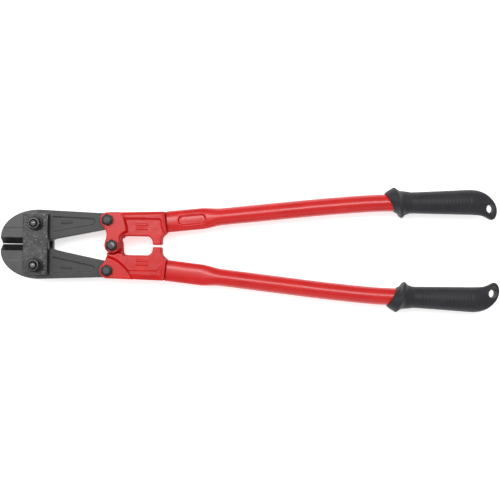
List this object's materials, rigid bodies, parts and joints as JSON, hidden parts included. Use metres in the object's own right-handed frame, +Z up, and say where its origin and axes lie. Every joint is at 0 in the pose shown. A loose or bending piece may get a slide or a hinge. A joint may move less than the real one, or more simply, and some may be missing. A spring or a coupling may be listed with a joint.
{
  "type": "bolt cutters",
  "caption": "Long-handled bolt cutters with centre-cut jaws, bolted side plates, red forged arms, tubular handles and grey moulded grips with hang holes.",
  "frame": {"origin": "under the middle of the tool's overall box, on the plane it rests on when it lies flat on its nuts", "axes": "+X from the jaws to the grips, +Y across the handles towards the upper one, +Z up through the pivots' axes"},
  "size_m": [0.6076, 0.1528, 0.0542],
  "materials": {
    "jaw_steel": "satin black oxide on ground forged steel",
    "plate_steel": "mottled oil-blackened steel, slightly worn",
    "bolt_steel": "black oxide",
    "arm_paint": "gloss enamel over a forged surface",
    "tube_paint": "gloss enamel",
    "grip_plastic": "satin dark grey moulded PVC"
  },
  "bodies": {
    "side_plates": {"front_side_plate": "plate_steel", "back_side_plate": "plate_steel", "upper_jaw_bolt": "bolt_steel", "lower_jaw_bolt": "bolt_steel", "upper_jaw_nut": "bolt_steel", "lower_jaw_nut": "bolt_steel", "upper_jaw_washer": "bolt_steel", "lower_jaw_washer": "bolt_steel"},
    "upper_jaw": {"upper_jaw": "jaw_steel"},
    "lower_jaw": {"lower_jaw": "jaw_steel"},
    "center_pivot": {"center_bolt": "bolt_steel", "center_washer": "bolt_steel", "center_nut": "bolt_steel"},
    "upper_handle": {"upper_arm": "arm_paint", "upper_handle_tube": "tube_paint", "upper_grip": "grip_plastic", "upper_link_bolt": "bolt_steel", "upper_link_washer": "bolt_steel", "upper_link_nut": "bolt_steel"},
    "lower_handle": {"lower_arm": "arm_paint", "lower_handle_tube": "tube_paint", "lower_grip": "grip_plastic", "lower_link_bolt": "bolt_steel", "lower_link_washer": "bolt_steel", "lower_link_nut": "bolt_steel"}
  },
  "joints": [
    {"name": "upper_jaw_swing", "type": "hinge", "parent": "side_plates", "child": "upper_jaw", "pos_m": [-0.25783, 0.025, 0.0254], "axis": [0, 0, -1], "range_deg": [-0.3, 7.8]},
    {"name": "lower_jaw_swing", "type": "hinge", "parent": "side_plates", "child": "lower_jaw", "pos_m": [-0.25783, -0.025, 0.0254], "axis": [0, 0, 1], "range_deg": [-0.3, 7.8]},
    {"name": "center_slide", "type": "slide", "parent": "side_plates", "child": "center_pivot", "axis": [1, 0, 0], "range_m": [-0.001, 0.0215]},
    {"name": "upper_handle_swing", "type": "hinge", "parent": "center_pivot", "child": "upper_handle", "pos_m": [-0.16603, 0, 0.0254], "axis": [0, 0, 1], "range_deg": [-1.2, 45]},
    {"name": "lower_handle_swing", "type": "hinge", "parent": "center_pivot", "child": "lower_handle", "pos_m": [-0.16603, 0, 0.0254], "axis": [0, 0, -1], "range_deg": [-1.3, 45.1]}
  ],
  "couplings": [
    {"joint": "lower_handle_swing", "follows": "upper_handle_swing", "ratio": 1},
    {"joint": "upper_jaw_swing", "follows": "upper_handle_swing", "ratio": 0.168},
    {"joint": "lower_jaw_swing", "follows": "upper_handle_swing", "ratio": 0.168},
    {"joint": "center_slide", "follows": "upper_handle_swing", "m_per_rad": 0.0262}
  ]
}
